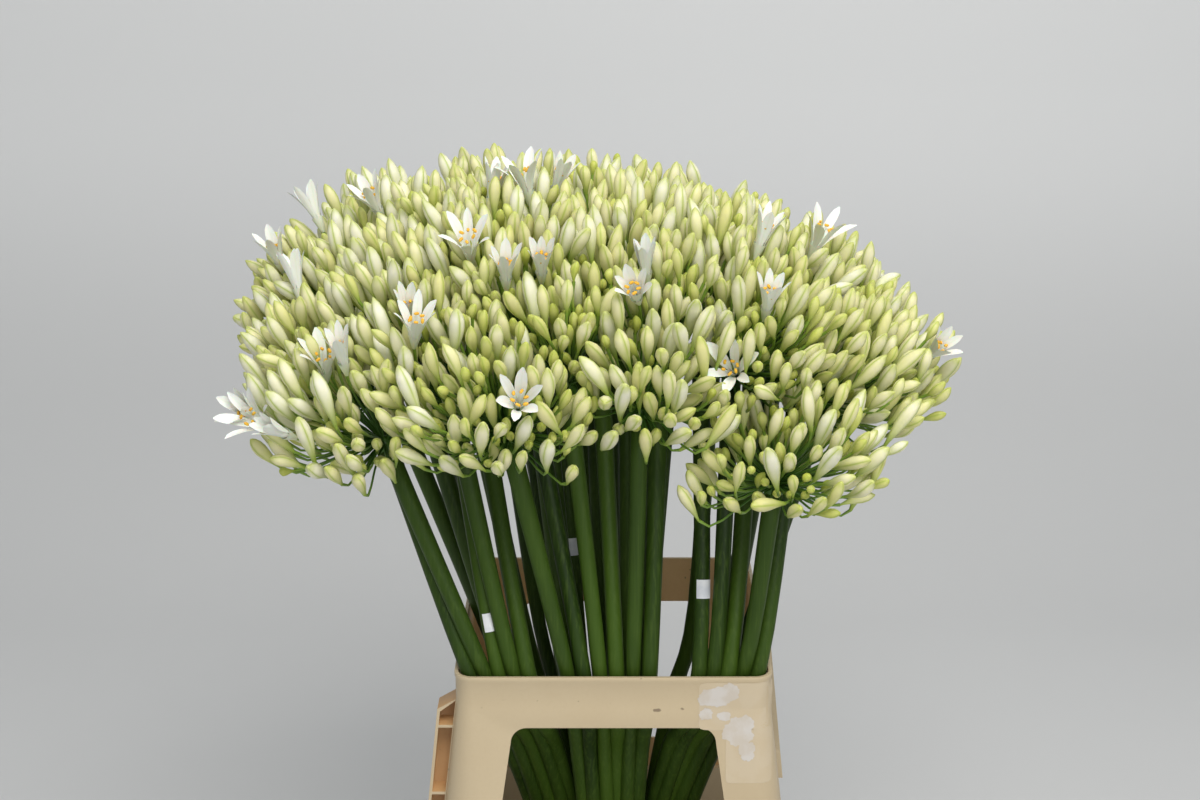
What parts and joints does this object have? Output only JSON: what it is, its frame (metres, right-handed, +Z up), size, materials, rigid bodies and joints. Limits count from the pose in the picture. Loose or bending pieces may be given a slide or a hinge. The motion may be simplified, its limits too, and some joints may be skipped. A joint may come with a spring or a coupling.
{
  "type": "bucket of cut agapanthus flowers",
  "caption": "Square plastic flower bucket with a windowed collar, holding cut agapanthus: tall bare green stems under a wide dome of pale green-white bud umbels.",
  "frame": {"origin": "centre of the bucket's flat underside, on the surface it stands on", "axes": "+Z up along the bucket and the stems, -Y to the front face that the picture shows, +X to the right of that face"},
  "size_m": [0.7713, 0.6428, 1.1271],
  "materials": {
    "cream_plastic": "satin moulded, slightly scuffed",
    "water": "clear",
    "scape_green": "satin plant skin",
    "bud_green_white": "satin petals",
    "rubber_band": "matt"
  },
  "bodies": {
    "root": {"bucket": "cream_plastic", "collar": "cream_plastic", "water": "water", "stems_left": "scape_green", "stems_right": "scape_green", "stems_front": "scape_green", "stems_back": "scape_green", "band_left": "rubber_band", "band_right": "rubber_band", "band_front": "rubber_band", "band_back": "rubber_band", "umbel_01": "bud_green_white", "umbel_02": "bud_green_white", "umbel_03": "bud_green_white", "umbel_04": "bud_green_white", "umbel_05": "bud_green_white", "umbel_06": "bud_green_white", "umbel_07": "bud_green_white", "umbel_08": "bud_green_white", "umbel_09": "bud_green_white", "umbel_10": "bud_green_white", "umbel_11": "bud_green_white", "umbel_12": "bud_green_white", "umbel_13": "bud_green_white", "umbel_14": "bud_green_white", "umbel_15": "bud_green_white", "umbel_16": "bud_green_white", "umbel_17": "bud_green_white", "umbel_18": "bud_green_white", "umbel_19": "bud_green_white", "umbel_20": "bud_green_white", "umbel_21": "bud_green_white", "umbel_22": "bud_green_white", "umbel_23": "bud_green_white", "umbel_24": "bud_green_white", "umbel_25": "bud_green_white", "umbel_26": "bud_green_white", "umbel_27": "bud_green_white", "umbel_28": "bud_green_white", "umbel_29": "bud_green_white", "umbel_30": "bud_green_white", "umbel_31": "bud_green_white", "umbel_32": "bud_green_white", "umbel_33": "bud_green_white", "umbel_34": "bud_green_white", "umbel_35": "bud_green_white", "umbel_36": "bud_green_white", "umbel_37": "bud_green_white", "umbel_38": "bud_green_white", "umbel_39": "bud_green_white", "umbel_40": "bud_green_white"}
  },
  "joints": []
}
